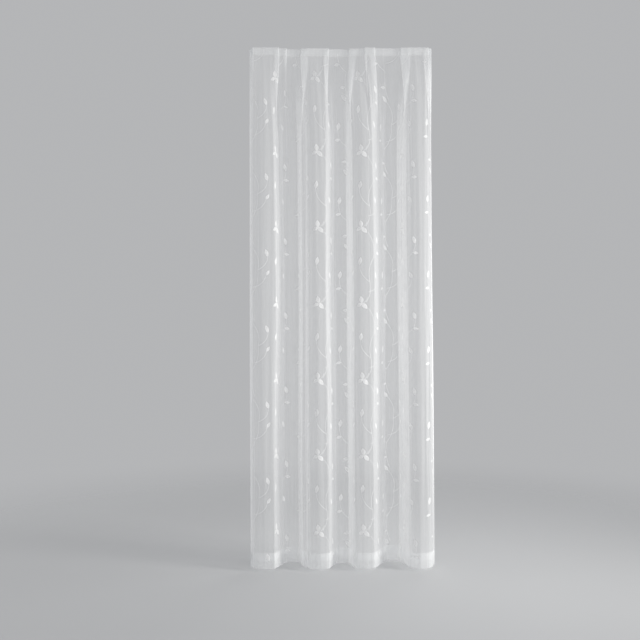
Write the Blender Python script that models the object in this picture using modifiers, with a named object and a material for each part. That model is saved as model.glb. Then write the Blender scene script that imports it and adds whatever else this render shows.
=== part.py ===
"""Sheer voile curtain panel, hanging in soft folds from a gathered heading.

Metres, +Z up. The origin is the middle of the top edge. +X runs to the right as seen from the
room, -Y faces the room and +Y faces the window. The panel is one sheet, hems included, and the
gathering tape is a narrow band sewn along the back of its top edge.
"""

from collections import namedtuple

import bmesh
import bpy
import numpy as np

# The finished panel before it is gathered.
FLAT_WIDTH = 1.40
DROP = 2.45
CLOTH_THICKNESS = 0.001

# The panel as it hangs.
TOP_WIDTH = 0.862
HEM_WIDTH = 0.874
HEM_DRIFT = 0.014  # how far the hem's middle lies to the right of the top edge's middle

# The gathering tape on the back of the heading.
TAPE_HEIGHT = 0.036
TAPE_THICKNESS = 0.001
TAPE_BELOW_EDGE = 0.002
TAPE_GAP = 0.0006

# Where the small heading pleats give way to the deep folds, measured down from the top edge.
HEADING_HEIGHT = 0.040
FOLDS_FORMED = 0.48

# How softly the cloth bends, as the length of cloth that one bend takes.
HEADING_BEND = 0.016
FOLD_BEND = 0.034

# How far the fold lines wander sideways in the cloth between the heading and the hem.
WANDER = 0.006
WANDER_TURNS_DOWN = 1.3
WANDER_TURNS_ACROSS = 2

# The mesh of the solid, and of the fine section that its shape is measured on.
PANEL_COLUMNS = 156
PANEL_ROWS = 12
ROW_CROWDING = 1.60  # above 1, rows crowd towards the heading, where the shape changes most
BEND_CROWDING = 3.0  # how many extra columns the bends draw from the flats
FOLDS_CROWDING = 2.0  # how much a bend of the deep folds counts beside a bend of a small pleat
SECTION_STEPS = 1400
STEP = FLAT_WIDTH / SECTION_STEPS
ACROSS = np.linspace(0, FLAT_WIDTH, SECTION_STEPS + 1)
STEPS = (ACROSS[:-1] + ACROSS[1:]) / 2

# The search for the depth of the folds, as a share of the depth that their leans give.
SHALLOWEST, DEEPEST = 0.5, 2
DEPTH_TOLERANCE = 0.0001

# The deep folds at the hem, from the left edge to the right edge. cloth is the length of cloth in
# each section, and lean is its angle in plan, in degrees: plus runs back towards the window, minus
# comes forward into the room.
Section = namedtuple("Section", "name cloth lean")
FOLDS = (
    Section("left edge", 0.032, -50),
    Section("lobe 1 left", 0.046, -8),
    Section("lobe 1 right", 0.047, 7),
    Section("lobe 1 side", 0.112, 68),
    Section("recess 1", 0.065, 16),
    Section("lobe 2 side", 0.087, -78),
    Section("lobe 2 roll", 0.011, -4),
    Section("lobe 2 shoulder", 0.038, -62),
    Section("lobe 2 left", 0.041, -9),
    Section("lobe 2 right", 0.043, 7),
    Section("lobe 2 far side", 0.107, 69),
    Section("recess 2", 0.052, 1),
    Section("lobe 3 side", 0.096, -73),
    Section("lobe 3 left", 0.043, -8),
    Section("lobe 3 right", 0.046, 8),
    Section("lobe 3 far side", 0.157, 66),
    Section("recess 3", 0.058, 3),
    Section("lobe 4 side", 0.132, -75),
    Section("lobe 4 shoulder", 0.028, -44),
    Section("lobe 4 left", 0.030, -7),
    Section("lobe 4 right", 0.032, 7),
    Section("right shoulder", 0.031, 42),
    Section("right edge", 0.066, 74),
)

# The small pleats that the tape draws the heading into, each laid over to one side, so that the
# cloth lies there in three layers. place is the middle of the layers, as a distance from the middle
# of the top edge, width is how wide they are, and side is 1 where the cloth goes on behind them and
# -1 where it goes on in front of them.
Pleat = namedtuple("Pleat", "place width side")
PLEATS = (
    Pleat(-0.414, 0.010, -1),
    Pleat(-0.301, 0.024, 1),
    Pleat(-0.260, 0.013, 1),
    Pleat(-0.172, 0.038, -1),
    Pleat(-0.067, 0.028, 1),
    Pleat(0.056, 0.036, -1),
    Pleat(0.120, 0.016, -1),
    Pleat(0.153, 0.027, 1),
    Pleat(0.306, 0.050, -1),
    Pleat(0.405, 0.026, 1),
)


def softened(lean, bend):
    """A lean, or a weight, spread at each place over the length of cloth that one bend takes."""
    reach = round(bend / STEP / 2)
    window = np.hanning(2 * reach + 3)[1:-1]
    padded = np.pad(lean, reach, mode="edge")
    return np.convolve(padded, window / window.sum(), mode="valid")


def lean_along(sections, bend):
    """The lean at each step across the flat cloth, for sections laid side by side.

    Each change of angle is spread over the length of cloth that one bend takes.
    """
    cloth = np.array([section.cloth for section in sections])
    ends = np.cumsum(cloth) * FLAT_WIDTH / cloth.sum()
    lean = np.radians([section.lean for section in sections])[np.searchsorted(ends, STEPS)]
    return softened(lean, bend)


def heading_sections():
    """The heading as flats between pleats. In each pleat, the cloth doubles back on itself."""
    share = (FLAT_WIDTH - TOP_WIDTH) / 2 / sum(pleat.width for pleat in PLEATS)
    sections = []
    reached = -TOP_WIDTH / 2
    for pleat in PLEATS:
        width = share * pleat.width
        sections.append(Section("flat", pleat.place + width / 2 - reached, 0))
        sections.append(Section("pleat", width, 180 * pleat.side))
        reached = pleat.place - width / 2
    sections.append(Section("flat", TOP_WIDTH / 2 - reached, 0))
    return sections


HEADING_LEAN = lean_along(heading_sections(), HEADING_BEND)
FOLD_LEAN = lean_along(FOLDS, FOLD_BEND)


def section_at(drop):
    """The plan of the hanging cloth at one distance below the top edge, as x and y across it.

    The leans of the heading give way to those of the deep folds, and the section is as wide as
    the panel hangs there. The depth of its folds is set so that the cloth keeps its flat width.
    """
    formed = np.clip((drop - HEADING_HEIGHT) / (FOLDS_FORMED - HEADING_HEIGHT), 0, 1)
    formed = np.sin(np.pi / 2 * formed)
    sway = np.sin(2 * np.pi * WANDER_TURNS_DOWN * (1 - drop / DROP))
    wandered = STEPS + WANDER * sway * np.sin(2 * np.pi * WANDER_TURNS_ACROSS * STEPS / FLAT_WIDTH)
    lean = (1 - formed) * HEADING_LEAN + formed * np.interp(wandered, STEPS, FOLD_LEAN)
    x = np.concatenate([[0], np.cumsum(np.cos(lean))]) * STEP
    y = np.concatenate([[0], np.cumsum(np.sin(lean))]) * STEP
    x *= (TOP_WIDTH + (HEM_WIDTH - TOP_WIDTH) * drop / DROP) / x[-1]
    low, high = SHALLOWEST, DEEPEST
    while high - low > DEPTH_TOLERANCE:
        depth = (low + high) / 2
        if np.hypot(np.diff(x), np.diff(y) * depth).sum() < FLAT_WIDTH:
            low = depth
        else:
            high = depth
    return x - x[-1] / 2 + HEM_DRIFT * drop / DROP, (y - y.mean()) * depth


def columns():
    """Places across the flat cloth for the mesh's columns, closer together at the bends."""
    bends = np.zeros(SECTION_STEPS + 1)
    bends[1:-1] = np.abs(np.diff(HEADING_LEAN)) + FOLDS_CROWDING * np.abs(np.diff(FOLD_LEAN))
    weight = 1 + BEND_CROWDING * softened(bends, HEADING_BEND) / bends.mean()
    run = np.concatenate([[0], np.cumsum(weight[1:])])
    return np.interp(np.linspace(0, run[-1], PANEL_COLUMNS + 1), run, ACROSS)


def layer_at(drop, across, behind):
    """Points of one level of the cloth, or of a layer that lies evenly behind it."""
    corners = np.array([np.interp(across, ACROSS, line) for line in section_at(drop)]).T
    runs = np.diff(corners, axis=0)
    normals = np.stack([-runs[:, 1], runs[:, 0]], axis=1) / np.hypot(*runs.T)[:, None]
    before = np.concatenate([normals[:1], normals])
    after = np.concatenate([normals, normals[-1:]])
    mitre = (before + after) / (1 + (before * after).sum(axis=1, keepdims=True))
    return np.column_stack([corners + mitre * behind, np.full(len(across), -drop)])


def hung_sheet(name, across, drops, behind, thickness, material, collection):
    """A flat grid of cloth laid onto the folds and given its thickness."""
    mesh = bpy.data.meshes.new(name)
    shape = bmesh.new()
    grid_width, grid_length = len(across) - 1, len(drops) - 1
    bmesh.ops.create_grid(shape, x_segments=grid_width, y_segments=grid_length, size=0.5)
    levels = [layer_at(drop, across, behind) for drop in drops]
    for vertex in shape.verts:
        column = round((vertex.co.x + 0.5) * grid_width)
        row = round((0.5 - vertex.co.y) * grid_length)
        vertex.co = levels[row][column]
    shape.to_mesh(mesh)
    shape.free()
    mesh.materials.append(material)
    mesh.shade_smooth()
    piece = bpy.data.objects.new(name, mesh)
    collection.objects.link(piece)
    solidify = piece.modifiers.new("thickness", "SOLIDIFY")
    solidify.thickness = thickness
    solidify.offset = 0
    return piece


def cloth_material(name, colour, roughness, alpha):
    material = bpy.data.materials.new(name)
    material.use_nodes = True
    shader = material.node_tree.nodes["Principled BSDF"]
    shader.inputs["Base Color"].default_value = (*colour, 1)
    shader.inputs["Roughness"].default_value = roughness
    shader.inputs["Metallic"].default_value = 0
    shader.inputs["Alpha"].default_value = alpha
    return material


def voile_panel(collection):
    """The sheet of voile, from its top edge to its hem."""
    below_heading = np.linspace(0, 1, PANEL_ROWS) ** ROW_CROWDING
    drops = [0, *(HEADING_HEIGHT + (DROP - HEADING_HEIGHT) * below_heading)]
    material = cloth_material("white_voile", (0.86, 0.87, 0.87), 0.85, 0.6)
    hung_sheet("voile_panel", columns(), drops, 0, CLOTH_THICKNESS, material, collection)


def heading_tape(collection):
    """The tape sewn along the back of the heading, which follows its pleats."""
    behind = (CLOTH_THICKNESS + TAPE_THICKNESS) / 2 + TAPE_GAP
    drops = [TAPE_BELOW_EDGE, TAPE_BELOW_EDGE + TAPE_HEIGHT]
    material = cloth_material("white_tape", (0.90, 0.90, 0.89), 0.80, 1)
    inside = columns()[1:-1]
    hung_sheet("heading_tape", inside, drops, behind, TAPE_THICKNESS, material, collection)


def main():
    for old in list(bpy.data.objects):
        bpy.data.objects.remove(old, do_unlink=True)
    collection = bpy.data.collections.new("sheer_voile_curtain")
    bpy.context.scene.collection.children.link(collection)
    voile_panel(collection)
    heading_tape(collection)


main()
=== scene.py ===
"""The looks of the sheer voile curtain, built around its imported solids.

One fine sheet of voile hangs in the solids' folds, with its side hems, bottom hem and heading turned
over at the back. The woven figure, leaves on trailing stems, lies on it as thin satin floats. Behind
the heading runs the gathering tape, and lines of stitches hold the hems and the tape.

Metres, +Z up. The origin is the middle of the top edge, and -Y faces the room. A place in the cloth
is its distance across the flat cloth, from the left edge, and its drop below the top edge.
"""

from collections import namedtuple

import bmesh
import bpy
import numpy as np
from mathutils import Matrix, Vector


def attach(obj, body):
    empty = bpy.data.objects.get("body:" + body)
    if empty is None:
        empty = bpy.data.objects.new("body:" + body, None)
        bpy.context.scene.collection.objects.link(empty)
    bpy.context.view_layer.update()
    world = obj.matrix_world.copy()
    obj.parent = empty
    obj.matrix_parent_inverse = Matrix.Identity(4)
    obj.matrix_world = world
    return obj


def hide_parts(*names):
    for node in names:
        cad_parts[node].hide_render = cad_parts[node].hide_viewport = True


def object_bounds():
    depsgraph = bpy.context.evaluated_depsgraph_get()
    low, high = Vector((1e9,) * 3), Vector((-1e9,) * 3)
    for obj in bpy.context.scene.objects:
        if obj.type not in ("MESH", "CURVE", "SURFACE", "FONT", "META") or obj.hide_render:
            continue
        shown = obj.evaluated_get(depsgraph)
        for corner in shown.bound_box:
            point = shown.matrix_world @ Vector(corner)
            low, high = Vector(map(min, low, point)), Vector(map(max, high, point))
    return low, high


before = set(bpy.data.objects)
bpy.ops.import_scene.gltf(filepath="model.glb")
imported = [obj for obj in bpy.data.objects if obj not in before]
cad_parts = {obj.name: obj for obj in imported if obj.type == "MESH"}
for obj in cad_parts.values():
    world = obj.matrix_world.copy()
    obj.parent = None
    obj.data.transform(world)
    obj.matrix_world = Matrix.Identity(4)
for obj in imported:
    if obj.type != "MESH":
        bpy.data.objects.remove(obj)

CAD_BOX = [list(corner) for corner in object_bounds()]
DROP = -CAD_BOX[0][2]

# The finished panel, flat and as it hangs.
FLAT_WIDTH = 1.40
TOP_WIDTH = 0.862
HEM_WIDTH = 0.874
HEM_DRIFT = 0.014  # how far the hem's middle lies to the right of the top edge's middle

# Where the small heading pleats give way to the deep folds, measured down from the top edge.
HEADING_HEIGHT = 0.040
FOLDS_FORMED = 0.48

# How softly the cloth bends, as the length of cloth that one bend takes.
HEADING_BEND = 0.016
FOLD_BEND = 0.034

# How far the fold lines wander sideways in the cloth between the heading and the hem.
WANDER = 0.006
WANDER_TURNS_DOWN = 1.3
WANDER_TURNS_ACROSS = 2

# The fine section that the shape is measured on, and the search for the depth of its folds.
SECTION_STEPS = 1400
STEP = FLAT_WIDTH / SECTION_STEPS
ACROSS = np.linspace(0, FLAT_WIDTH, SECTION_STEPS + 1)
STEPS = (ACROSS[:-1] + ACROSS[1:]) / 2
SHALLOWEST, DEEPEST = 0.5, 2
DEPTH_TOLERANCE = 0.0001

# The deep folds at the hem. cloth is the length of cloth in each section, and lean is its angle in
# plan, in degrees: plus runs back towards the window, minus comes forward into the room.
Section = namedtuple("Section", "name cloth lean")
FOLDS = (
    Section("left edge", 0.032, -50),
    Section("lobe 1 left", 0.046, -8),
    Section("lobe 1 right", 0.047, 7),
    Section("lobe 1 side", 0.112, 68),
    Section("recess 1", 0.065, 16),
    Section("lobe 2 side", 0.087, -78),
    Section("lobe 2 roll", 0.011, -4),
    Section("lobe 2 shoulder", 0.038, -62),
    Section("lobe 2 left", 0.041, -9),
    Section("lobe 2 right", 0.043, 7),
    Section("lobe 2 far side", 0.107, 69),
    Section("recess 2", 0.052, 1),
    Section("lobe 3 side", 0.096, -73),
    Section("lobe 3 left", 0.043, -8),
    Section("lobe 3 right", 0.046, 8),
    Section("lobe 3 far side", 0.157, 66),
    Section("recess 3", 0.058, 3),
    Section("lobe 4 side", 0.132, -75),
    Section("lobe 4 shoulder", 0.028, -44),
    Section("lobe 4 left", 0.030, -7),
    Section("lobe 4 right", 0.032, 7),
    Section("right shoulder", 0.031, 42),
    Section("right edge", 0.066, 74),
)

# The small pleats that the tape draws the heading into, each laid over to one side, so that the
# cloth lies there in three layers. place is the middle of the layers, as a distance from the middle
# of the top edge, width is how wide they are, and side is 1 where the cloth goes on behind them and
# -1 where it goes on in front of them.
Pleat = namedtuple("Pleat", "place width side")
PLEATS = (
    Pleat(-0.414, 0.010, -1),
    Pleat(-0.301, 0.024, 1),
    Pleat(-0.260, 0.013, 1),
    Pleat(-0.172, 0.038, -1),
    Pleat(-0.067, 0.028, 1),
    Pleat(0.056, 0.036, -1),
    Pleat(0.120, 0.016, -1),
    Pleat(0.153, 0.027, 1),
    Pleat(0.306, 0.050, -1),
    Pleat(0.405, 0.026, 1),
)

# The small creases of the hanging cloth. place is the crease's distance across the flat cloth at its
# top end, and drift is how far it has moved at its bottom end. top and bottom are its ends, measured
# down from the top edge, and one that ends below the hem is still strong there. width is half its
# breadth, and depth is plus for a trough that goes back.
Crease = namedtuple("Crease", "place drift top bottom width depth")
CREASES = (
    Crease(0.084, 0.000, 0.05, 3.20, 0.031, -0.0058),
    Crease(0.484, 0.000, 0.05, 3.20, 0.028, -0.0054),
    Crease(0.826, 0.000, 0.05, 3.20, 0.030, -0.0058),
    Crease(1.276, 0.000, 0.05, 3.20, 0.025, -0.0046),
    Crease(0.046, 0.010, 0.05, 0.42, 0.006, 0.0022),
    Crease(0.070, -0.006, 0.06, 1.30, 0.010, -0.0020),
    Crease(0.102, 0.010, 0.05, 0.62, 0.007, 0.0024),
    Crease(0.112, 0.004, 0.90, 2.30, 0.009, -0.0018),
    Crease(0.248, 0.016, 0.05, 0.75, 0.008, 0.0024),
    Crease(0.266, 0.010, 1.20, 2.38, 0.012, -0.0022),
    Crease(0.290, -0.006, 0.05, 0.40, 0.006, 0.0022),
    Crease(0.452, 0.006, 0.05, 1.10, 0.006, 0.0020),
    Crease(0.484, 0.014, 0.05, 0.50, 0.007, -0.0024),
    Crease(0.502, -0.004, 1.00, 2.25, 0.010, 0.0016),
    Crease(0.640, 0.012, 0.05, 0.55, 0.008, 0.0026),
    Crease(0.662, -0.006, 0.70, 2.20, 0.013, -0.0020),
    Crease(0.796, -0.010, 0.05, 0.60, 0.007, 0.0022),
    Crease(0.792, 0.002, 1.50, 2.30, 0.006, 0.0026),
    Crease(0.842, 0.010, 0.05, 1.40, 0.010, -0.0018),
    Crease(1.034, -0.010, 0.05, 0.58, 0.009, 0.0028),
    Crease(1.056, 0.006, 0.80, 2.34, 0.014, -0.0022),
    Crease(1.232, 0.008, 0.05, 0.70, 0.006, 0.0024),
    Crease(1.268, 0.006, 0.05, 1.60, 0.009, -0.0020),
    Crease(1.288, 0.010, 1.10, 2.32, 0.006, 0.0024),
    Crease(1.314, 0.008, 0.05, 0.46, 0.006, 0.0022),
)

# Long shallow ripples all over the cloth below the heading: each one's width in the cloth, its height,
# and, counted in turns, how far it shifts from the top edge to the hem and where it starts.
Ripple = namedtuple("Ripple", "width height turns start")
RIPPLES = (
    Ripple(0.061, 0.0007, 0.8, 0.10),
    Ripple(0.037, 0.0005, -1.1, 0.45),
    Ripple(0.023, 0.0004, 1.7, 0.80),
    Ripple(0.014, 0.0002, -2.3, 0.25),
)

# The cloth's mesh. Its columns crowd at the bends and its rows towards the heading.
PANEL_COLUMNS = 640
PANEL_ROWS = 116
ROW_CROWDING = 1.25  # above 1, rows crowd towards the heading
BEND_CROWDING = 3.0  # how many extra columns the bends draw from the flats
FOLDS_CROWDING = 2.0  # how much a bend of the deep folds counts beside a bend of a small pleat

# The turned edges. A double hem is turned twice: hem is how deep it shows and turn is how much is
# tucked in behind it. gap is the space from one layer to the next, and lines is how many lines of
# points the mesh has in each layer.
Turning = namedtuple("Turning", "hem turn gap lines")
SIDE_HEM = Turning(0.016, 0.014, 0.0002, 5)
BOTTOM_HEM = Turning(0.073, 0.035, 0.0007, 9)
TOP_TURN = Turning(0.035, 0.0, 0.00028, 6)
NARROWEST_BAKED = 0.0015  # the least width of a row or column in the map for baked pictures

# The woven figure: one repeat, its stems, and the leaves on each stem. u runs right and v up from
# the repeat's lower left corner. bow is how far the stem's middle bulges to the left of its chord.
REPEAT_WIDTH = 0.335
REPEAT_HEIGHT = 0.355
Stem = namedtuple("Stem", "name u v end_u end_v bow")
STEMS = (
    Stem("trail", 0.086, -0.022, 0.072, 0.098, 0.010),
    Stem("trail upper", 0.072, 0.098, 0.104, 0.214, -0.012),
    Stem("trail tip", 0.104, 0.214, 0.078, 0.318, -0.014),
    Stem("left fork", 0.072, 0.098, 0.028, 0.178, 0.014),
    Stem("right fork", 0.104, 0.214, 0.150, 0.276, -0.012),
    Stem("right twig", 0.080, 0.134, 0.142, 0.188, -0.014),
    Stem("vine", 0.236, 0.158, 0.254, 0.272, 0.012),
    Stem("vine upper", 0.254, 0.272, 0.226, 0.392, -0.014),
    Stem("vine root", 0.218, 0.064, 0.236, 0.158, -0.010),
    Stem("cluster stalk", 0.224, 0.086, 0.196, 0.058, 0.006),
    Stem("vine left fork", 0.236, 0.158, 0.188, 0.238, 0.012),
    Stem("vine right fork", 0.254, 0.272, 0.300, 0.338, -0.014),
    Stem("vine twig", 0.229, 0.112, 0.284, 0.176, -0.016),
)

# along is where on the stem the leaf sits, as a share of the stem, and turn is how far the leaf points
# to the left of the stem's direction, in degrees.
Leaf = namedtuple("Leaf", "stem along turn length width")
LEAVES = (
    Leaf("trail tip", 1.0, 4, 0.038, 0.0180),
    Leaf("left fork", 1.0, -8, 0.037, 0.0175),
    Leaf("left fork", 0.52, 74, 0.026, 0.0135),
    Leaf("right fork", 1.0, 22, 0.036, 0.0160),
    Leaf("right twig", 1.0, -18, 0.028, 0.0140),
    Leaf("trail", 0.42, 82, 0.027, 0.0140),
    Leaf("vine left fork", 1.0, -14, 0.038, 0.0165),
    Leaf("vine right fork", 1.0, 16, 0.037, 0.0160),
    Leaf("vine right fork", 0.50, -66, 0.026, 0.0135),
    Leaf("vine twig", 1.0, 30, 0.034, 0.0170),
    Leaf("cluster stalk", 0.96, -98, 0.034, 0.0190),
    Leaf("cluster stalk", 0.96, 16, 0.027, 0.0160),
    Leaf("cluster stalk", 0.96, 118, 0.035, 0.0195),
)
FIRST_REPEAT_AT = -0.052  # where the first repeat's left side lies, across from the left edge
FIGURE_RISE = 0.118  # how far the first whole repeat's foot lies above the hem's edge
EDGE_MARGIN = 0.002  # the least space between a float and the panel's edge

# The floats' forms. FLOAT_GAP is how far they stand off the ground cloth at their edges, and a crown
# is how much further their middles do.
FLOAT_GAP = 0.00022
STEM_WIDTH = 0.0021
STEM_TAPER = 0.35  # how much of a stem's width is lost at its tip
STEM_CROWN = 0.00018
STEM_STEPS = 28
LEAF_CROWN = 0.00030
LEAF_LEAN = 0.92  # below 1, a leaf is widest nearer its base than its tip
LEAF_FULLNESS = 0.85  # below 1, its sides are fuller than a sine's
LEAF_ENDS = 0.04  # how wide its two ends are, as a share of its width
LEAF_STEPS = 12
LEAF_COLUMNS = 6

# The gathering tape, with the relief of its cords and pockets on its back. Its height and its place
# are the solid's. TAPE_FRONT is how far its front lies behind the cloth.
TAPE_HEIGHT = 0.036
TAPE_BELOW_EDGE = 0.002
TAPE_FRONT = 0.0013
TAPE_THICKNESS = 0.0006
TAPE_COLUMNS = 760
TAPE_ROWS = 27

# The tape's relief. Its places are measured down from the tape's top edge.
CORD_PLACES = (0.0075, 0.0180, 0.0285)
CORD_RADIUS = 0.0011
CORD_RISE = 0.0006
POCKET_PITCH = 0.018
POCKET_WIDTH = 0.011
POCKET_RISE = 0.0004
POCKET_SIDE = 0.001  # half the breadth of the slope at each side of a pocket
POCKET_TOP = (0.008, 0.011)  # where a pocket rises
POCKET_FOOT = (0.025, 0.028)  # where it sinks again

# The stitches. A stitch is a closed lozenge between two tips, with a ring of four points near each.
STITCH_PITCH = 0.0034
STITCH_LENGTH = 0.0029
STITCH_RADIUS = 0.00022
STITCH_RING = 0.55  # how far each ring is from the middle, as a share of the way to the tip
SEAM_INSET = 0.0020  # how far a seam lies inside the edge of the hem or of the tape
SEAM_START = 0.001  # how far inside the panel's edge a seam starts

# The white cloths. dark and light are the ends of each one's uneven whiteness, bump is the height of
# its threads, and through is the share of its light that has come through the cloth. For the thread,
# dark and light are painted shade and light: its colour follows the height of its twist.
Look = namedtuple("Look", "dark light bump roughness sheen through")
VOILE_LOOK = Look((0.945, 0.95, 0.955), (0.975, 0.98, 0.98), 0.00012, 0.75, 0.15, 0.45)
SATIN_LOOK = Look((0.88, 0.88, 0.88), (0.95, 0.95, 0.945), 0.00015, 0.45, 0.15, 0.30)
TAPE_LOOK = Look((0.945, 0.945, 0.94), (0.975, 0.975, 0.97), 0.00020, 0.70, 0.10, 0.45)
THREAD_LOOK = Look((0.78, 0.78, 0.77), (0.92, 0.92, 0.91), 0.00006, 0.50, 0.20, 0.10)
SPECULAR = 0.35
SHEEN_ROUGHNESS = 0.4

# Threads and ribs that lie side by side, as waves in the flat cloth. waviness is how unevenly they
# run, and detail is how fine that unevenness is.
Ridges = namedtuple("Ridges", "direction pitch waviness detail")
VOILE_WARP = Ridges("X", 0.00055, 0.6, 1.0)
VOILE_WEFT = Ridges("Y", 0.00060, 0.6, 1.0)
SATIN_RIBS = Ridges("DIAGONAL", 0.0011, 0.8, 1.0)
TAPE_WARP = Ridges("X", 0.0009, 0.4, 1.0)
TAPE_WEFT = Ridges("Y", 0.0005, 0.4, 1.0)
TAPE_CORDS = Ridges("Y", 0.0105, 0.0, 2.0)
THREAD_TWIST = Ridges("DIAGONAL", 0.0004, 0.3, 2.0)
WAVE_LENGTH = 2 * np.pi / 20  # how long one turn of a Wave texture is, at a scale of 1

# Unevenness of the cloths: how many patches there are to a metre across and down, and their detail.
Patches = namedtuple("Patches", "across down detail")
VOILE_SLUBS = Patches(420, 5, 3.0)
VOILE_BANDS = Patches(60, 1.4, 2.0)
SATIN_SLUBS = Patches(500, 40, 2.0)
TAPE_BLOTCHES = Patches(90, 90, 2.0)
PATCH_ROUGHNESS = 0.6
PATCHES_FROM, PATCHES_TO = 0.3, 0.7  # the range that most of a Noise texture lies in

# How closed the cloths are, as the share that their threads cover, and how much that share changes:
# by up to so much either way in patches, and from one number to the other from gap to thread.
VOILE_COVER = 0.34
VOILE_SLUB_COVER = 0.03
VOILE_BAND_COVER = 0.02
VOILE_WEAVE_COVER = (-0.10, 0.05)
STEEPEST_COSINE = 0.48  # voile seen more aslant than this gets no denser
LEAF_COVER = 0.80
STEM_COVER = 0.66
SATIN_SLUB_COVER = 0.05
TAPE_WEAVE_COVER = (0.0, 0.06)
TAPE_CORD_COVER = (0.0, 0.40)
CORD_LINE_FROM = 0.6  # how much of a cord's wave is left out of its line: more makes a finer line

# Sockets of the Mix node when it mixes colours.
MIX_FACTOR, MIX_FIRST, MIX_SECOND, MIX_RESULT = 0, 6, 7, 2

# The studio: a pale floor just below the hem, which fades into a plain pale background.
FLOOR_GAP = 0.015
FLOOR_RADIUS = 3.6
FLOOR_SIDES = 96
FLOOR_FADES = 0.5  # how far from its middle the floor begins to fade
FLOOR_DARK = (0.66, 0.665, 0.67)
FLOOR_LIGHT = (0.68, 0.685, 0.69)
FLOOR_ROUGHNESS = 0.9
FLOOR_GRAIN = 1.5  # how many patches of its grain there are to a metre
BACKGROUND = (0.46, 0.465, 0.475)

# Square lights, each aimed at the middle of the curtain. size is a light's side, and spread is how
# wide its beam is, in degrees.
Light = namedtuple("Light", "name place size power spread colour")
LIGHTS = (
    Light("key", (3.85, -1.45, -1.35), 1.2, 31, 80, (1.0, 0.99, 0.97)),
    Light("fill", (1.3, -4.6, -0.9), 2.8, 19, 120, (0.97, 0.98, 1.0)),
    Light("back", (1.7, 2.6, -0.9), 2.2, 8, 80, (1.0, 1.0, 1.0)),
)

# How many times light may bounce: a view along the folds looks through many sheer layers.
MOST_BOUNCES = 24
DIFFUSE_BOUNCES = 12
TRANSPARENT_BOUNCES = 48

# The camera faces the curtain squarely, from about the middle of its height and a little to its left.
CAMERA_PLACE = (-0.0965, -4.3, -1.287)
SENSOR_WIDTH = 36  # in millimetres
VIEW_WIDTH = 3.030  # how wide the picture is at the curtain


def smoothstep(low, high, value):
    part = np.clip((value - low) / (high - low), 0, 1)
    return part * part * (3 - 2 * part)


# ---------------------------------------------------------------- the hanging shape


def softened(lean, bend):
    """A lean, or a weight, spread at each place over the length of cloth that one bend takes."""
    reach = round(bend / STEP / 2)
    window = np.hanning(2 * reach + 3)[1:-1]
    padded = np.pad(lean, reach, mode="edge")
    return np.convolve(padded, window / window.sum(), mode="valid")


def lean_along(sections, bend):
    """The lean at each step across the flat cloth, for sections laid side by side.

    Each change of angle is spread over the length of cloth that one bend takes.
    """
    cloth = np.array([section.cloth for section in sections])
    ends = np.cumsum(cloth) * FLAT_WIDTH / cloth.sum()
    lean = np.radians([section.lean for section in sections])[np.searchsorted(ends, STEPS)]
    return softened(lean, bend)


def heading_sections():
    """The heading as flats between pleats. In each pleat, the cloth doubles back on itself."""
    share = (FLAT_WIDTH - TOP_WIDTH) / 2 / sum(pleat.width for pleat in PLEATS)
    sections = []
    reached = -TOP_WIDTH / 2
    for pleat in PLEATS:
        width = share * pleat.width
        sections.append(Section("flat", pleat.place + width / 2 - reached, 0))
        sections.append(Section("pleat", width, 180 * pleat.side))
        reached = pleat.place - width / 2
    sections.append(Section("flat", TOP_WIDTH / 2 - reached, 0))
    return sections


HEADING_LEAN = lean_along(heading_sections(), HEADING_BEND)
FOLD_LEAN = lean_along(FOLDS, FOLD_BEND)


def section_at(drop):
    """The plan of the solids' cloth at one distance below the top edge, as x and y all across it.

    The leans of the heading give way to those of the deep folds, and the section is as wide as
    the panel hangs there. The depth of its folds is set so that the cloth keeps its flat width.
    """
    formed = np.clip((drop - HEADING_HEIGHT) / (FOLDS_FORMED - HEADING_HEIGHT), 0, 1)
    formed = np.sin(np.pi / 2 * formed)
    sway = np.sin(2 * np.pi * WANDER_TURNS_DOWN * (1 - drop / DROP))
    wandered = STEPS + WANDER * sway * np.sin(2 * np.pi * WANDER_TURNS_ACROSS * STEPS / FLAT_WIDTH)
    lean = (1 - formed) * HEADING_LEAN + formed * np.interp(wandered, STEPS, FOLD_LEAN)
    x = np.concatenate([[0], np.cumsum(np.cos(lean))]) * STEP
    y = np.concatenate([[0], np.cumsum(np.sin(lean))]) * STEP
    x *= (TOP_WIDTH + (HEM_WIDTH - TOP_WIDTH) * drop / DROP) / x[-1]
    low, high = SHALLOWEST, DEEPEST
    while high - low > DEPTH_TOLERANCE:
        depth = (low + high) / 2
        if np.hypot(np.diff(x), np.diff(y) * depth).sum() < FLAT_WIDTH:
            low = depth
        else:
            high = depth
    return x - x[-1] / 2 + HEM_DRIFT * drop / DROP, (y - y.mean()) * depth


def crease_depth(drop):
    """How far the small creases and ripples take the cloth back, at each step across it."""
    depth = np.zeros_like(ACROSS)
    for crease in CREASES:
        along = (drop - crease.top) / (crease.bottom - crease.top)
        if 0 < along < 1:
            place = crease.place + crease.drift * along
            fade = np.sqrt(np.sin(np.pi * along))
            depth += crease.depth * fade * np.exp(-(((ACROSS - place) / crease.width) ** 2))
    below_tape = smoothstep(0, 2 * HEADING_HEIGHT, drop)
    for ripple in RIPPLES:
        turn = ACROSS / ripple.width + ripple.turns * drop / DROP + ripple.start
        depth += ripple.height * below_tape * np.sin(2 * np.pi * turn)
    return depth


def level_of_cloth(drop, across):
    """Points of the fine cloth at one drop: the solids' section with its creases."""
    x, y = section_at(drop)
    run = np.hypot(np.gradient(x), np.gradient(y))
    depth = crease_depth(drop)
    creased = x - depth * np.gradient(y) / run, y + depth * np.gradient(x) / run
    plan = [np.interp(across, ACROSS, line) for line in creased]
    return np.column_stack([*plan, np.full(len(across), -drop)])


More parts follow.
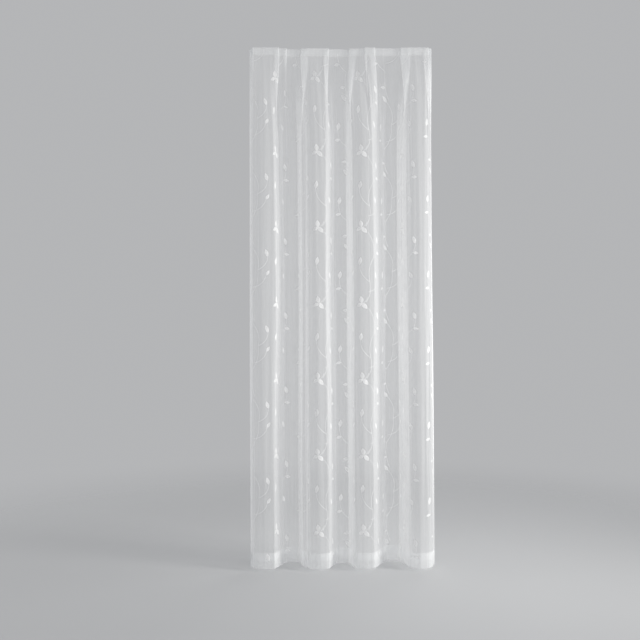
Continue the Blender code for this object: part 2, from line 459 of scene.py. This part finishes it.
def columns(count):
    """Places across the flat cloth for a mesh's columns, closer together at the bends."""
    bends = np.zeros(SECTION_STEPS + 1)
    bends[1:-1] = np.abs(np.diff(HEADING_LEAN)) + FOLDS_CROWDING * np.abs(np.diff(FOLD_LEAN))
    weight = 1 + BEND_CROWDING * softened(bends, HEADING_BEND) / bends.mean()
    run = np.concatenate([[0], np.cumsum(weight[1:])])
    return np.interp(np.linspace(0, run[-1], count + 1), run, ACROSS)


COLUMNS = columns(PANEL_COLUMNS)
ROWS = DROP * np.linspace(0, 1, PANEL_ROWS) ** ROW_CROWDING
POINTS = np.array([level_of_cloth(drop, COLUMNS) for drop in ROWS])


def behind_directions(points):
    """Unit vectors that point out of the back of the cloth, at each point of its grid."""
    out = np.cross(np.gradient(points, axis=1), np.gradient(points, axis=0))
    return out / np.linalg.norm(out, axis=2, keepdims=True)


BEHIND = behind_directions(POINTS)


def steps_along(places, marks):
    """Where places lie along a grid's marks, counted in its steps. The count runs on past each end."""
    count = np.interp(places, marks, np.arange(len(marks)))
    count += np.minimum(places - marks[0], 0) / (marks[1] - marks[0])
    return count + np.maximum(places - marks[-1], 0) / (marks[-1] - marks[-2])


def on_cloth(across, drop, behind):
    """Points at places in the cloth, each some way behind it. Minus is in front of it."""
    column = steps_along(across, COLUMNS)
    row = steps_along(drop, ROWS)
    left = np.minimum(column.astype(int), len(COLUMNS) - 2)
    above = np.minimum(row.astype(int), len(ROWS) - 2)
    right_share = (column - left)[..., None]
    low_share = (row - above)[..., None]

    def between(grid):
        upper = grid[above, left] * (1 - right_share) + grid[above, left + 1] * right_share
        lower = grid[above + 1, left] * (1 - right_share) + grid[above + 1, left + 1] * right_share
        return upper * (1 - low_share) + lower * low_share

    return between(POINTS) + between(BEHIND) * np.asarray(behind)[..., None]


# ---------------------------------------------------------------- meshes


def grid_faces(rows, count, wrapped=False):
    """The quads of a grid whose points run row by row. A wrapped grid joins its last row to its first."""
    first = np.arange(rows * count).reshape(rows, count)
    upper, lower = (first, np.roll(first, -1, axis=0)) if wrapped else (first[:-1], first[1:])
    quads = np.stack([upper[:, :-1], lower[:, :-1], lower[:, 1:], upper[:, 1:]], axis=2)
    return quads.reshape(-1, 4)


def mesh_piece(name, points, faces, flat, material, spread_out=None):
    """One object of many like meshes: points and flat are given for each copy, and faces for one.

    spread_out is a map over the unit square, for baked pictures.
    """
    copies, each = points.shape[0], points.shape[1]
    shifts = np.arange(copies) * each
    all_faces = [face for shift in shifts for face in (faces + shift).tolist()]
    mesh = bpy.data.meshes.new(name)
    mesh.from_pydata(points.reshape(-1, 3).tolist(), [], all_faces)
    corner_vertices = np.empty(len(mesh.loops), dtype=np.int64)
    mesh.loops.foreach_get("vertex_index", corner_vertices)
    maps = {"flat": flat} if spread_out is None else {"flat": flat, "OFBake": spread_out}
    for title, places in maps.items():
        corners = places.reshape(-1, 2)[corner_vertices].astype(np.float32)
        mesh.uv_layers.new(name=title).uv.foreach_set("vector", corners.ravel())
    mesh.materials.append(material)
    mesh.shade_smooth()
    piece = bpy.data.objects.new(name, mesh)
    bpy.context.scene.collection.objects.link(piece)
    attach(piece, "root")
    return piece


# ---------------------------------------------------------------- materials


def add(tree, kind, inputs=None, **settings):
    """A new node. inputs gives a value or another node's output for each named or numbered socket."""
    node = tree.nodes.new(kind)
    for name, value in settings.items():
        setattr(node, name, value)
    for name, value in (inputs or {}).items():
        if isinstance(value, bpy.types.NodeSocket):
            tree.links.new(value, node.inputs[name])
        else:
            node.inputs[name].default_value = value
    return node


def calc(tree, operation, *values):
    """A Math node's output."""
    return add(tree, "ShaderNodeMath", dict(enumerate(values)), operation=operation).outputs[0]


def new_material(name):
    material = bpy.data.materials.new(name)
    material.use_nodes = True
    material.node_tree.nodes.clear()
    return material, material.node_tree


def flat_place(tree, across_scale, drop_scale):
    """The place in the flat cloth, in metres, stretched by a scale in each direction."""
    flat = add(tree, "ShaderNodeUVMap", uv_map="flat").outputs["UV"]
    scale = (across_scale, drop_scale, 1)
    return add(tree, "ShaderNodeMapping", {"Vector": flat, "Scale": scale}).outputs["Vector"]


def noise(tree, patches):
    place = flat_place(tree, patches.across, patches.down)
    settings = {
        "Vector": place,
        "Scale": 1.0,
        "Detail": patches.detail,
        "Roughness": PATCH_ROUGHNESS,
    }
    return add(tree, "ShaderNodeTexNoise", settings, noise_dimensions="2D").outputs["Fac"]


def waves(tree, ridges):
    """The height of threads or ribs that lie side by side."""
    settings = {
        "Vector": flat_place(tree, 1, 1),
        "Scale": WAVE_LENGTH / ridges.pitch,
        "Distortion": ridges.waviness,
        "Detail": ridges.detail,
    }
    wave = add(tree, "ShaderNodeTexWave", settings, bands_direction=ridges.direction)
    return wave.outputs["Fac"]


def plain_weave(tree, warp, weft):
    """The height of a plain weave of two sets of threads."""
    return calc(tree, "MAXIMUM", waves(tree, warp), waves(tree, weft))


def spread(tree, value, low, high, out_low, out_high):
    """A value carried from one range to another, held at the ends."""
    numbers = {"Value": value, "From Min": low, "From Max": high, "To Min": out_low, "To Max": out_high}
    return add(tree, "ShaderNodeMapRange", numbers).outputs["Result"]


def uneven(tree, cover, patches, amount):
    """Cover that patches make closer or more open, by up to an amount."""
    change = spread(tree, patches, PATCHES_FROM, PATCHES_TO, -amount, amount)
    return calc(tree, "ADD", change, cover)


def denser_aslant(tree, cover):
    """Cover as seen aslant: the threads close up, by one over the cosine of the viewing angle.

    At a blend of 0.5, the Layer Weight node's Facing is one less that cosine.
    """
    facing = add(tree, "ShaderNodeLayerWeight", {"Blend": 0.5}).outputs["Facing"]
    cosine = calc(tree, "MAXIMUM", calc(tree, "SUBTRACT", 1.0, facing), STEEPEST_COSINE)
    open_share = calc(tree, "SUBTRACT", 1.0, cover)
    open_aslant = calc(tree, "POWER", open_share, calc(tree, "DIVIDE", 1.0, cosine))
    return calc(tree, "SUBTRACT", 1.0, open_aslant)


def tinted(tree, factor, dark, light):
    """A colour between two, by a factor."""
    inputs = {MIX_FACTOR: factor, MIX_FIRST: (*dark, 1), MIX_SECOND: (*light, 1)}
    return add(tree, "ShaderNodeMix", inputs, data_type="RGBA").outputs[MIX_RESULT]


def cloth_shader(tree, look, shade, height):
    """White cloth, lit on both faces: a rough surface mixed with light that comes through it.

    shade places its colour between the look's dark and light ones.
    """
    colour = tinted(tree, shade, look.dark, look.light)
    bumped = {"Height": height, "Strength": 1.0, "Distance": look.bump}
    normal = add(tree, "ShaderNodeBump", bumped).outputs["Normal"]
    surface = add(
        tree,
        "ShaderNodeBsdfPrincipled",
        {
            "Base Color": colour,
            "Roughness": look.roughness,
            "Specular IOR Level": SPECULAR,
            "Sheen Weight": look.sheen,
            "Sheen Roughness": SHEEN_ROUGHNESS,
            "Normal": normal,
        },
    )
    passed = add(tree, "ShaderNodeBsdfTranslucent", {"Color": colour, "Normal": normal})
    both = {0: look.through, 1: surface.outputs[0], 2: passed.outputs[0]}
    return add(tree, "ShaderNodeMixShader", both).outputs[0]


def let_through(tree, cover, shader):
    """The shader with the gaps between its threads open, and cover as the share that is closed."""
    gaps = add(tree, "ShaderNodeBsdfTransparent").outputs[0]
    sheer = add(tree, "ShaderNodeMixShader", {0: cover, 1: gaps, 2: shader})
    add(tree, "ShaderNodeOutputMaterial", {"Surface": sheer.outputs[0]})


def voile_material():
    """Sheer plain weave with fine slubs that run down the warp, and fainter broad bands."""
    material, tree = new_material("sheer_voile")
    weave = plain_weave(tree, VOILE_WARP, VOILE_WEFT)
    bands = noise(tree, VOILE_BANDS)
    cover = uneven(tree, VOILE_COVER, noise(tree, VOILE_SLUBS), VOILE_SLUB_COVER)
    cover = uneven(tree, cover, bands, VOILE_BAND_COVER)
    cover = calc(tree, "ADD", cover, spread(tree, weave, 0, 1, *VOILE_WEAVE_COVER))
    let_through(tree, denser_aslant(tree, cover), cloth_shader(tree, VOILE_LOOK, bands, weave))
    return material


def satin_material(name, cover):
    """The figure's floats: smooth threads with the slanting ribs of a satin, closer than the ground."""
    material, tree = new_material(name)
    slubs = noise(tree, SATIN_SLUBS)
    shader = cloth_shader(tree, SATIN_LOOK, slubs, waves(tree, SATIN_RIBS))
    let_through(tree, uneven(tree, cover, slubs, SATIN_SLUB_COVER), shader)
    return material


def tape_material():
    """Clear tape, almost all open, with denser lines at the cords' pitch."""
    material, tree = new_material("woven_tape")
    weave = plain_weave(tree, TAPE_WARP, TAPE_WEFT)
    woven = spread(tree, weave, 0, 1, *TAPE_WEAVE_COVER)
    lines = spread(tree, waves(tree, TAPE_CORDS), CORD_LINE_FROM, 1, *TAPE_CORD_COVER)
    shader = cloth_shader(tree, TAPE_LOOK, noise(tree, TAPE_BLOTCHES), weave)
    let_through(tree, calc(tree, "ADD", woven, lines), shader)
    return material


def thread_material():
    """White sewing thread with its twist, its colour darker in the twist's grooves as painted shade."""
    material, tree = new_material("sewing_thread")
    twist = waves(tree, THREAD_TWIST)
    shader = cloth_shader(tree, THREAD_LOOK, twist, twist)
    add(tree, "ShaderNodeOutputMaterial", {"Surface": shader})
    return material


# ---------------------------------------------------------------- the pieces


def turned_over(turning):
    """Cloth that runs on past an edge: its places, measured in from that edge, and its layer's gap.

    It lies over the hem at the back. A double hem's tucked part then lies between the two layers.
    """
    layers = 2 if turning.turn else 1
    inward = [[-layers / 2 * turning.gap], np.linspace(0, turning.hem, turning.lines)]
    behind = [[layers / 2 * turning.gap], np.full(turning.lines, layers * turning.gap)]
    if turning.turn:
        tucked = np.linspace(turning.hem, turning.hem - turning.turn, turning.lines)
        inward += [[turning.hem + turning.gap / 2], tucked]
        behind += [[(1 + layers) / 2 * turning.gap], np.full(turning.lines, turning.gap)]
    return np.concatenate(inward), np.concatenate(behind)


def voile_cloth(material):
    """The whole cut sheet in one grid, its turned edges included."""
    side, side_behind = turned_over(SIDE_HEM)
    bottom, bottom_behind = turned_over(BOTTOM_HEM)
    top, top_behind = turned_over(TOP_TURN)
    across = np.concatenate([side[::-1], COLUMNS, FLAT_WIDTH - side])
    across_behind = np.concatenate([side_behind[::-1], 0 * COLUMNS, side_behind])
    drop = np.concatenate([top[::-1], ROWS, DROP - bottom])
    drop_behind = np.concatenate([top_behind[::-1], 0 * ROWS, bottom_behind])
    drops, places = np.meshgrid(drop, across, indexing="ij")
    behind = drop_behind[:, None] + across_behind[None, :]
    points = on_cloth(places, drops, behind).reshape(1, -1, 3)
    flat = np.stack(np.meshgrid(run_from(across, len(side)), -run_from(drop, len(top))), axis=2)
    faces = grid_faces(len(drop), len(across))
    baked = spread_places(across, drop)
    piece = mesh_piece("voile_cloth", points, faces, flat, material, baked)
    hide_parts("voile_panel")
    return piece


def spread_places(across, drop):
    """The grid's places spread over the unit square, with its narrowest steps widened."""
    lines = []
    for places in (across, drop):
        steps = np.maximum(np.abs(np.diff(places)), NARROWEST_BAKED)
        run = np.concatenate([[0], np.cumsum(steps)])
        lines.append(run / run[-1])
    return np.stack(np.meshgrid(lines[0], 1 - lines[1]), axis=2)


def run_from(places, edge):
    """How far along the cut sheet each place lies, from the one numbered edge.

    It runs on where the sheet is turned back.
    """
    run = np.concatenate([[0], np.cumsum(np.abs(np.diff(places)))])
    return run - run[edge]


def figure_repeats():
    """The lower left corner of each repeat that reaches the panel, as across and height above the hem.

    The lowest row of repeats starts below the hem.
    """
    most_across = int(np.ceil(FLAT_WIDTH / REPEAT_WIDTH))
    most_up = int(np.ceil(DROP / REPEAT_HEIGHT))
    corners = [
        (FIRST_REPEAT_AT + column * REPEAT_WIDTH, FIGURE_RISE + row * REPEAT_HEIGHT)
        for column in range(most_across)
        for row in range(-1, most_up)
    ]
    return np.array(corners)


def stem_line(stem, along):
    """Points of a stem's line, and its direction there, in one repeat.

    The line is a parabola, and it bulges most, by the stem's bow, in the middle.
    """
    start = np.array([stem.u, stem.v])
    chord = np.array([stem.end_u, stem.end_v]) - start
    left = np.array([-chord[1], chord[0]]) / np.hypot(*chord)
    along = np.asarray(along, dtype=float)[..., None]
    line = start + chord * along + left * stem.bow * 4 * along * (1 - along)
    direction = chord + left * stem.bow * 4 * (1 - 2 * along)
    return line, direction / np.linalg.norm(direction, axis=-1, keepdims=True)


def within_panel(flat):
    """Which copies lie wholly on the panel. flat is across and height above the hem, for each copy."""
    low = flat.min(axis=1)
    high = flat.max(axis=1)
    inside_low = (low > EDGE_MARGIN).all(axis=1)
    inside_high = (high < np.array([FLAT_WIDTH, DROP]) - EDGE_MARGIN).all(axis=1)
    return inside_low & inside_high


def floats(name, shape, crowns, faces, material):
    """The copies of one float, or of several, in every repeat. shape is each float's points."""
    corners = figure_repeats()
    flat = (corners[:, None, None, :] + shape[None]).reshape(-1, shape.shape[1], 2)
    rise = np.tile(crowns, (len(corners), 1))
    kept = within_panel(flat)
    flat, rise = flat[kept], rise[kept]
    points = on_cloth(flat[..., 0], DROP - flat[..., 1], -(FLOAT_GAP + rise))
    return mesh_piece(name, points, faces, flat, material)


def woven_leaves(material):
    """Pointed oval leaves, a little crowned."""
    along = np.linspace(0, 1, LEAF_STEPS + 1)
    aside = np.linspace(-1, 1, LEAF_COLUMNS + 1)
    half = np.sin(np.pi * along ** LEAF_LEAN) ** LEAF_FULLNESS
    half[[0, -1]] = LEAF_ENDS
    stems = {stem.name: stem for stem in STEMS}
    shapes, crowns = [], []
    for leaf in LEAVES:
        base, direction = stem_line(stems[leaf.stem], leaf.along)
        turn = np.radians(leaf.turn)
        turning = np.array([[np.cos(turn), -np.sin(turn)], [np.sin(turn), np.cos(turn)]])
        forward = turning @ direction
        left = np.array([-forward[1], forward[0]])
        spine = base + forward * leaf.length * along[:, None]
        reach = half[:, None] * aside * leaf.width / 2
        shapes.append((spine[:, None] + reach[..., None] * left).reshape(-1, 2))
        crowns.append((LEAF_CROWN * half[:, None] * (1 - aside ** 2)).ravel())
    faces = grid_faces(LEAF_STEPS + 1, LEAF_COLUMNS + 1)
    return floats("woven_leaves", np.array(shapes), np.array(crowns), faces, material)


def woven_stems(material):
    """Narrow stems that taper to their tips."""
    along = np.linspace(0, 1, STEM_STEPS + 1)
    aside = np.array([-1, 0, 1])
    half = STEM_WIDTH / 2 * (1 - STEM_TAPER * along)
    shapes, crowns = [], []
    for stem in STEMS:
        line, direction = stem_line(stem, along)
        left = np.stack([-direction[:, 1], direction[:, 0]], axis=1)
        reach = half[:, None] * aside
        shapes.append((line[:, None] + reach[..., None] * left[:, None]).reshape(-1, 2))
        crowns.append(np.tile(STEM_CROWN * (1 - aside ** 2), (len(along), 1)).ravel())
    faces = grid_faces(STEM_STEPS + 1, len(aside))
    return floats("woven_stems", np.array(shapes), np.array(crowns), faces, material)


def tape_relief(across, down):
    """How far the tape's back stands out: its cords in their channels, and its woven pockets."""
    relief = np.zeros(np.broadcast(across, down).shape)
    for place in CORD_PLACES:
        relief += CORD_RISE * np.exp(-(((down - place) / CORD_RADIUS) ** 2))
    in_pitch = np.abs(across % POCKET_PITCH - POCKET_PITCH / 2)
    side = POCKET_WIDTH / 2
    pocket = 1 - smoothstep(side - POCKET_SIDE, side + POCKET_SIDE, in_pitch)
    tall = smoothstep(*POCKET_TOP, down) * (1 - smoothstep(*POCKET_FOOT, down))
    return relief + POCKET_RISE * pocket * tall


def gathering_tape(material):
    """A flat band that follows the pleats, its front plain and its back in relief."""
    inside = columns(TAPE_COLUMNS)
    inside = inside[(inside > SIDE_HEM.hem) & (inside < FLAT_WIDTH - SIDE_HEM.hem)]
    down = np.linspace(0, TAPE_HEIGHT, TAPE_ROWS)
    drops, across = np.meshgrid(down, inside, indexing="ij")
    back = TAPE_FRONT + TAPE_THICKNESS + tape_relief(across, drops)
    front = np.full_like(back, TAPE_FRONT)
    places = np.concatenate([across, across[::-1]])
    levels = np.concatenate([drops, drops[::-1]])
    behind = np.concatenate([front, back[::-1]])
    points = on_cloth(places, TAPE_BELOW_EDGE + levels, behind)
    flat = np.stack([places, -levels], axis=2)
    rows, count = places.shape
    sides = grid_faces(rows, count, wrapped=True)
    number = np.arange(rows * count).reshape(rows, count)
    ends = []
    for column in (0, count - 1):
        line = number[:, column]
        for step in range(rows // 2 - 1):
            quad = [line[step], line[rows - 1 - step], line[rows - 2 - step], line[step + 1]]
            ends.append(quad if column == 0 else quad[::-1])
    faces = np.concatenate([sides, np.array(ends)])
    piece = mesh_piece("gathering_tape", points.reshape(1, -1, 3), faces, flat, material)
    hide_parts("heading_tape")
    return piece


def seam(start, end, behind):
    """A row of stitches between two places, on the front and again some way behind it.

    Each of the two is given as its stitches' middles, their half lengths and how far behind they lie.
    """
    start, end = np.array(start), np.array(end)
    length = np.hypot(*(end - start))
    count = int(length / STITCH_PITCH)
    middles = start + (end - start) * ((np.arange(count) + 0.5) / count)[:, None]
    reach = (end - start) / length * STITCH_LENGTH / 2
    reaches = np.tile(reach, (count, 1))
    return [(middles, reaches, np.full(count, float(layer))) for layer in (0, behind)]


def stitches(material):
    """Every seam's stitches as small closed lozenges.

    Point 0 is one tip, 1 to 4 are the ring near it, 5 to 8 the ring near the other tip, and 9 that tip.
    """
    hem_line = DROP - BOTTOM_HEM.hem + SEAM_INSET
    side_line = SIDE_HEM.hem - SEAM_INSET
    bottom_back = 2 * BOTTOM_HEM.gap
    side_back = 2 * SIDE_HEM.gap
    tape_back = TAPE_FRONT + TAPE_THICKNESS
    tape_top = TAPE_BELOW_EDGE + SEAM_INSET
    tape_foot = TAPE_BELOW_EDGE + TAPE_HEIGHT - SEAM_INSET
    right = FLAT_WIDTH - side_line
    rows = [
        *seam((SEAM_START, hem_line), (FLAT_WIDTH - SEAM_START, hem_line), bottom_back),
        *seam((side_line, SEAM_START), (side_line, hem_line), side_back),
        *seam((right, SEAM_START), (right, hem_line), side_back),
        *seam((side_line, tape_top), (right, tape_top), tape_back),
        *seam((side_line, tape_foot), (right, tape_foot), tape_back),
    ]
    middles = np.concatenate([row[0] for row in rows])
    reach = np.concatenate([row[1] for row in rows])
    layers = np.concatenate([row[2] for row in rows])
    aside = np.stack([-reach[:, 1], reach[:, 0]], axis=1) / (STITCH_LENGTH / 2)
    around = ((1, 0), (0, 1), (-1, 0), (0, -1))
    rings = [(place, *turn) for place in (-STITCH_RING, STITCH_RING) for turn in around]
    template = [(-1, 0, 0), *rings, (1, 0, 0)]
    flat, behind = [], []
    for along, side, out in template:
        flat.append(middles + reach * along + aside * side * STITCH_RADIUS)
        behind.append(layers + out * STITCH_RADIUS)
    flat, behind = np.stack(flat, axis=1), np.stack(behind, axis=1)
    points = on_cloth(flat[..., 0], flat[..., 1], behind)
    turns = [(k, (k + 1) % 4) for k in range(4)]
    faces = [[0, 1 + b, 1 + a] for a, b in turns] + [[9, 5 + a, 5 + b] for a, b in turns]
    faces += [[1 + a, 1 + b, 5 + b] for a, b in turns] + [[1 + a, 5 + b, 5 + a] for a, b in turns]
    return mesh_piece("stitches", points, np.array(faces), flat, material)


# ---------------------------------------------------------------- the studio


def floor_material():
    """Pale paper that fades into the plain light of the background, so that no view sees its edge."""
    material, tree = new_material("studio_paper")
    place = add(tree, "ShaderNodeTexCoord").outputs["Object"]
    grain = add(tree, "ShaderNodeTexNoise", {"Vector": place, "Scale": FLOOR_GRAIN, "Detail": 2.0})
    colour = tinted(tree, grain.outputs["Fac"], FLOOR_DARK, FLOOR_LIGHT)
    look = {"Base Color": colour, "Roughness": FLOOR_ROUGHNESS}
    paper = add(tree, "ShaderNodeBsdfPrincipled", look)
    radius = add(tree, "ShaderNodeVectorMath", {0: place}, operation="LENGTH").outputs["Value"]
    fade = {"Value": radius, "From Min": FLOOR_FADES, "From Max": FLOOR_RADIUS}
    faded = add(tree, "ShaderNodeMapRange", fade, interpolation_type="SMOOTHSTEP").outputs["Result"]
    open_air = add(tree, "ShaderNodeBsdfTransparent").outputs[0]
    both = add(tree, "ShaderNodeMixShader", {0: faded, 1: paper.outputs[0], 2: open_air})
    add(tree, "ShaderNodeOutputMaterial", {"Surface": both.outputs[0]})
    return material


def studio_floor():
    """A round pale floor just below the hem."""
    shape = bmesh.new()
    bmesh.ops.create_circle(shape, cap_ends=True, segments=FLOOR_SIDES, radius=FLOOR_RADIUS)
    mesh = bpy.data.meshes.new("studio_floor")
    shape.to_mesh(mesh)
    shape.free()
    mesh.materials.append(floor_material())
    floor = bpy.data.objects.new("studio_floor", mesh)
    floor.location.z = -DROP - FLOOR_GAP
    bpy.context.scene.collection.objects.link(floor)


def aimed_light(row):
    """The light that one row of the table describes."""
    data = bpy.data.lights.new(row.name, "AREA")
    data.size = row.size
    data.energy = row.power
    data.spread = np.radians(row.spread)
    data.color = row.colour
    light = bpy.data.objects.new(row.name, data)
    light.location = row.place
    middle = Vector((0, 0, -DROP / 2))
    light.rotation_euler = (middle - light.location).to_track_quat("-Z", "Y").to_euler()
    light.visible_camera = False
    bpy.context.scene.collection.objects.link(light)


def plain_sky():
    """The plain pale background, which also lights the curtain softly from all sides."""
    world = bpy.data.worlds.new("soft_sky")
    world.use_nodes = True
    background = world.node_tree.nodes["Background"]
    background.inputs["Color"].default_value = (*BACKGROUND, 1)
    background.inputs["Strength"].default_value = 1.0
    bpy.context.scene.world = world


def camera():
    data = bpy.data.cameras.new("camera")
    data.sensor_width = SENSOR_WIDTH
    data.lens = SENSOR_WIDTH * -CAMERA_PLACE[1] / VIEW_WIDTH
    view = bpy.data.objects.new("camera", data)
    view.location = CAMERA_PLACE
    view.rotation_euler = (np.pi / 2, 0, 0)
    bpy.context.scene.collection.objects.link(view)
    bpy.context.scene.camera = view


def main():
    cloth = voile_cloth(voile_material())
    leaves = woven_leaves(satin_material("satin_leaves", LEAF_COVER))
    stems = woven_stems(satin_material("satin_stems", STEM_COVER))
    tape = gathering_tape(tape_material())
    sewing = stitches(thread_material())
    studio_floor()
    for row in LIGHTS:
        aimed_light(row)
    plain_sky()
    camera()
    scene = bpy.context.scene
    scene.view_settings.view_transform = "Standard"
    scene.cycles.transparent_max_bounces = TRANSPARENT_BOUNCES
    scene.cycles.max_bounces = MOST_BOUNCES
    scene.cycles.diffuse_bounces = DIFFUSE_BOUNCES
    scene.cycles.transmission_bounces = MOST_BOUNCES
    scene.cycles.use_denoising = True


main()
